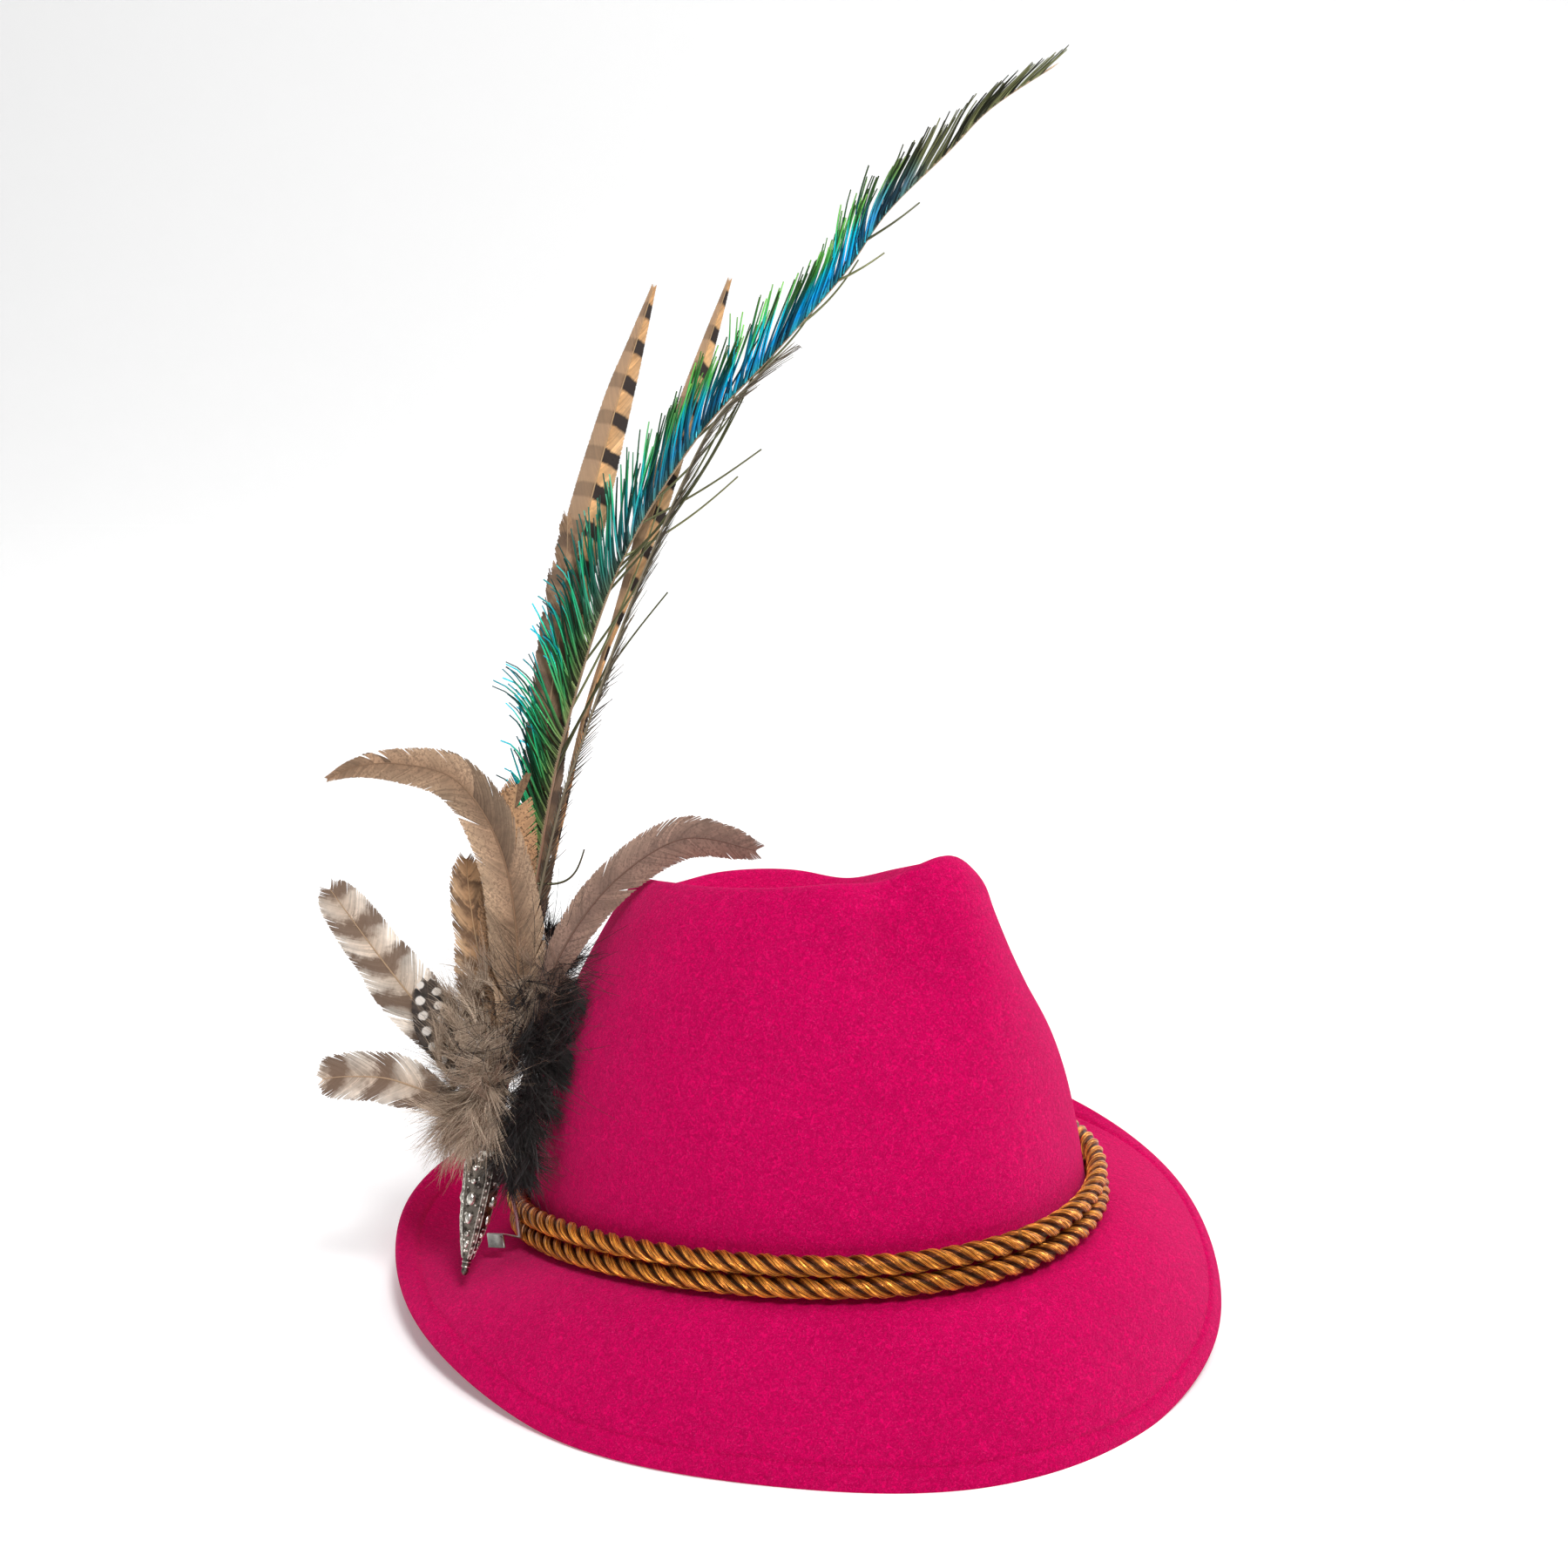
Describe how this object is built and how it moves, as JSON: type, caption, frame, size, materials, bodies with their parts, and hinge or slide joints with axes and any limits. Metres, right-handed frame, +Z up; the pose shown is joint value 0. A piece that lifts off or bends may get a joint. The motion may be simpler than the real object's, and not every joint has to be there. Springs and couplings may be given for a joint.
{
  "type": "tyrolean hat",
  "caption": "Felt tyrolean hat with a pinched crown, down-turned front brim, two twisted cords and a feather plume in a metal holder.",
  "frame": {"origin": "middle of the bounding box in plan, on the surface that the hat lies on", "axes": "+Z up along the plume, -Y toward the front of the hat, +X toward the wearer's left"},
  "size_m": [0.2676, 0.2846, 0.3944],
  "materials": {
    "felt": "dyed wool felt, short nap",
    "gold_cord": "satin twisted cord",
    "old_silver": "oxidised silver-coloured metal",
    "black_fur": "black fur",
    "grey_fluff": "grey downy feather",
    "brown": "brown feather",
    "tan": "barred tan feather",
    "grizzly": "grey barred feather",
    "guinea": "dark spotted feather",
    "peacock": "iridescent green and blue feather",
    "olive": "dark olive feather"
  },
  "bodies": {
    "root": {"felt_body": "felt", "lower_cord": "gold_cord", "upper_cord": "gold_cord", "feather_holder": "old_silver", "holder_clip": "old_silver", "black_fur": "black_fur", "grey_fluff": "grey_fluff", "pheasant_tail_long": "tan", "pheasant_tail_short": "tan", "pheasant_tail_ragged": "brown", "peacock_sword": "peacock", "peacock_side": "olive", "hackle_curled": "brown", "hackle_right": "brown", "feather_speckled": "brown", "feather_barred": "tan", "guinea_feather": "guinea", "grizzly_upper": "grizzly", "grizzly_lower": "grizzly"}
  },
  "joints": []
}
